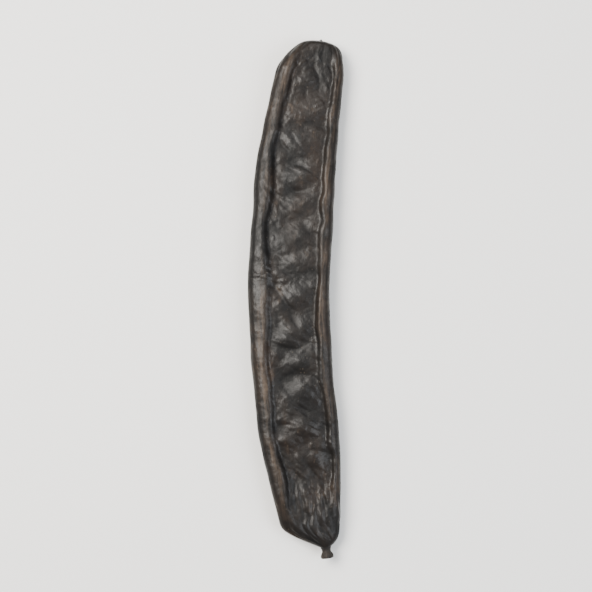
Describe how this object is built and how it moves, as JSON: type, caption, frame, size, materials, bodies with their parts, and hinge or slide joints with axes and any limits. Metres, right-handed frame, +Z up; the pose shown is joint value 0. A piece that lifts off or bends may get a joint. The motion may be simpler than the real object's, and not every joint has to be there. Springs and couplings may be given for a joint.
{
  "type": "carob pod",
  "caption": "Dried ripe carob pod, bowed and flattened, with thick rims, faces wrinkled over the seeds and a short woody stalk, lying on its broad side.",
  "frame": {"origin": "on the surface that the pod lies on, under the middle of the pod and its stalk", "axes": "+Z up; +Y from the stalk to the beak along the chord of the pod's bow; +X to the hollow side of the bow"},
  "size_m": [0.0338, 0.1834, 0.011],
  "materials": {
    "pod_skin": "satin",
    "stalk_wood": "matte"
  },
  "bodies": {
    "root": {"pod": "pod_skin", "stalk": "stalk_wood"}
  },
  "joints": []
}
